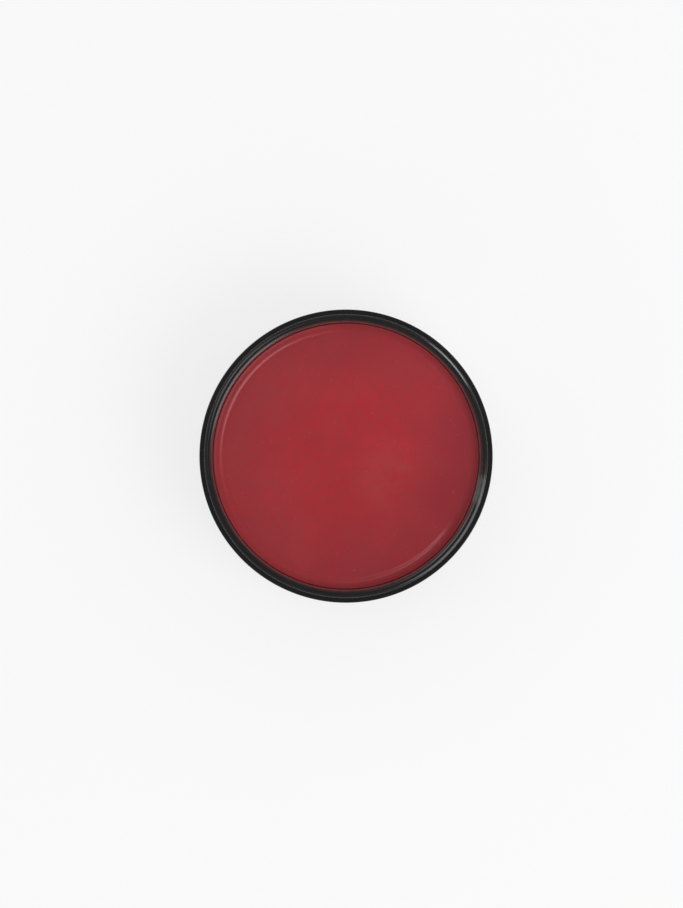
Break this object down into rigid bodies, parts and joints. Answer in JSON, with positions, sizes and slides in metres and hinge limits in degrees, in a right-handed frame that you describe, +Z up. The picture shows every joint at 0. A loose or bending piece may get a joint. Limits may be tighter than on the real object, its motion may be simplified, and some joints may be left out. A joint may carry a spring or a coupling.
{
  "type": "paint jar",
  "caption": "Shallow round open jar of black moulded plastic with a rounded lip and a ledge for a slip-on lid, filled to just below the lip with dark red poured paint.",
  "frame": {"origin": "centre of the base, on the surface that the jar stands on", "axes": "+Z up along the jar's axis; +X and +Y are any two directions across the round jar"},
  "size_m": [0.055, 0.055, 0.02],
  "materials": {
    "jar_plastic": "gloss",
    "paint": "satin",
    "label_film": "satin"
  },
  "bodies": {
    "root": {"jar_body": "jar_plastic", "paint_cake": "paint", "base_label": "label_film"}
  },
  "joints": []
}
